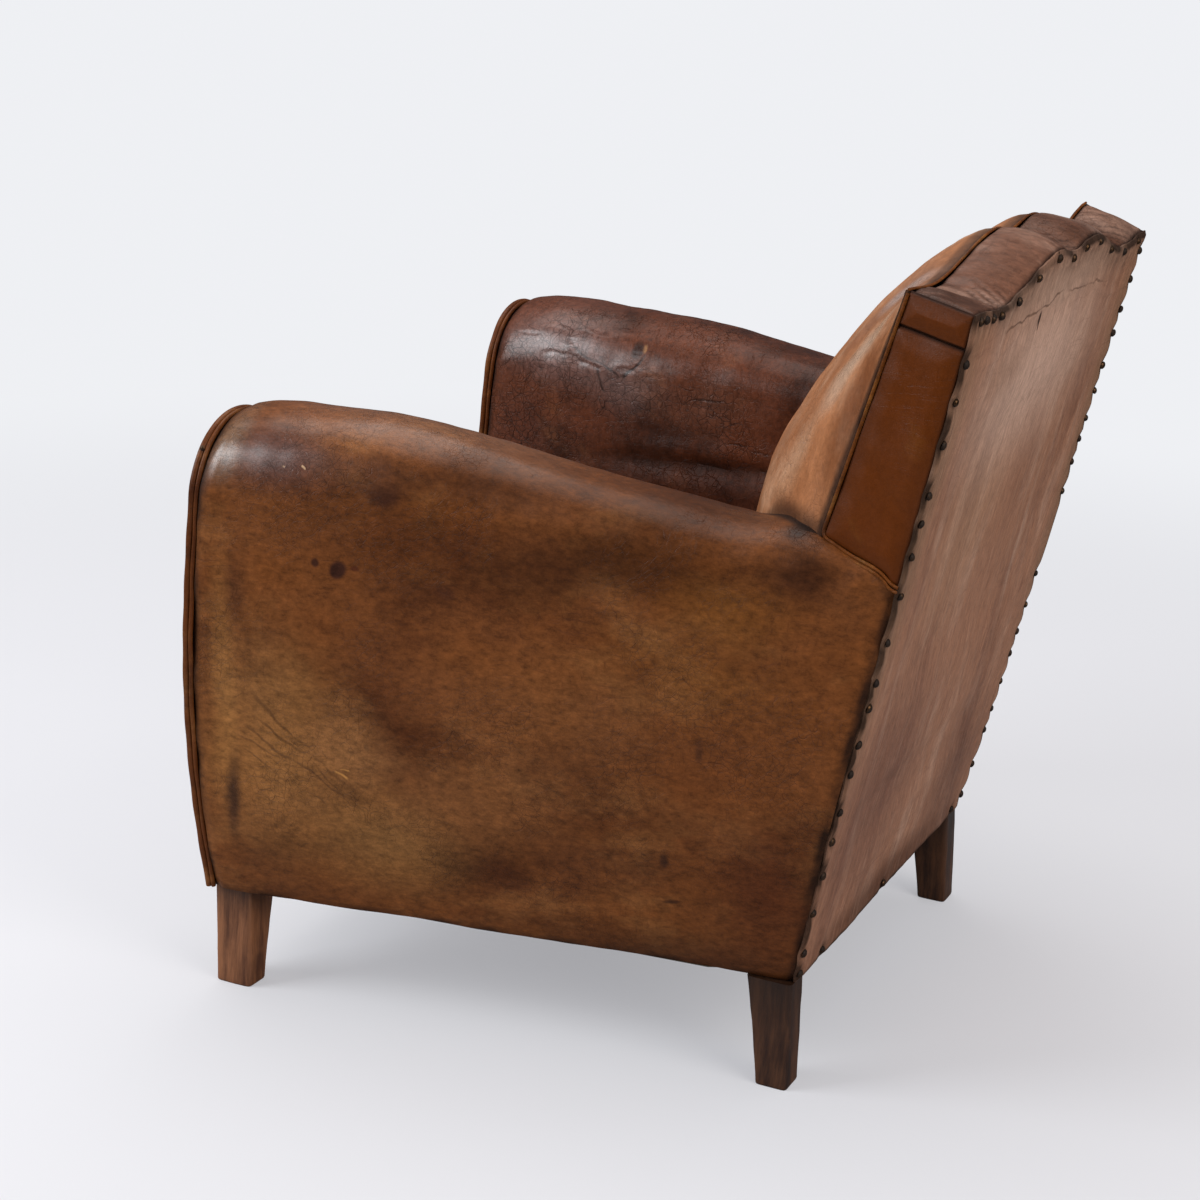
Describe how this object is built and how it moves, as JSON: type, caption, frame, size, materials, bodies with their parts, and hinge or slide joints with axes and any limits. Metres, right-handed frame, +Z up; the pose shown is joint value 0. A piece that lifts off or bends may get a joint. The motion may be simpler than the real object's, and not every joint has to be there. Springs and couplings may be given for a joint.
{
  "type": "club chair",
  "caption": "Small worn leather club chair with round-topped arms, a raked back with a three-lobed top edge, a loose seat cushion and square tapered wooden legs.",
  "frame": {"origin": "on the floor, under the middle of the chair's bounding box", "axes": "+Z up; the chair faces -Y, so the back is at +Y; +X is the sitter's left"},
  "size_m": [0.7966, 0.761, 0.836],
  "materials": {
    "wood_leg": "dark stained wood, rubbed",
    "wood_frame": "bare beech",
    "leather": "old brown leather, worn",
    "back_leather": "faded, streaked tan leather",
    "stuffing": "hair and fibre",
    "hessian": "jute",
    "spring_steel": "dull wire"
  },
  "bodies": {
    "root": {"arm_cover_left": "leather", "arm_cover_right": "leather", "arm_facing_left": "leather", "arm_facing_right": "leather", "arm_post_left": "wood_frame", "arm_post_right": "wood_frame", "arm_rail_left": "wood_frame", "arm_rail_right": "wood_frame", "arm_stuffing_left": "stuffing", "arm_stuffing_right": "stuffing", "arm_tack_rail_left": "wood_frame", "arm_tack_rail_right": "wood_frame", "arm_welt_left": "leather", "arm_welt_right": "leather", "back_post_left": "wood_frame", "back_post_right": "wood_frame", "back_side_panel_left": "leather", "back_side_panel_right": "leather", "back_stuffing": "stuffing", "back_tack_rail": "wood_frame", "back_top_rail": "wood_frame", "back_top_strip": "leather", "back_upper_patch_left": "leather", "back_upper_patch_right": "leather", "corner_block_front_left": "wood_frame", "corner_block_front_right": "wood_frame", "corner_block_rear_left": "wood_frame", "corner_block_rear_right": "wood_frame", "inside_back_cover": "leather", "leg_front_left": "wood_leg", "leg_front_right": "wood_leg", "leg_rear_left": "wood_leg", "leg_rear_right": "wood_leg", "outer_back_panel": "back_leather", "seat_cushion": "leather", "seat_deck_cover": "leather", "seat_dust_cover": "hessian", "seat_front_border": "leather", "seat_hessian": "hessian", "seat_rail_front": "wood_frame", "seat_rail_left": "wood_frame", "seat_rail_rear": "wood_frame", "seat_rail_right": "wood_frame", "seat_spring_1": "spring_steel", "seat_spring_2": "spring_steel", "seat_spring_3": "spring_steel", "seat_spring_4": "spring_steel", "seat_spring_5": "spring_steel", "seat_spring_6": "spring_steel", "seat_spring_7": "spring_steel", "seat_spring_8": "spring_steel", "seat_spring_9": "spring_steel", "seat_stuffing": "stuffing", "seat_web_cross_1": "hessian", "seat_web_cross_2": "hessian", "seat_web_cross_3": "hessian", "seat_web_long_1": "hessian", "seat_web_long_2": "hessian", "seat_web_long_3": "hessian"}
  },
  "joints": []
}
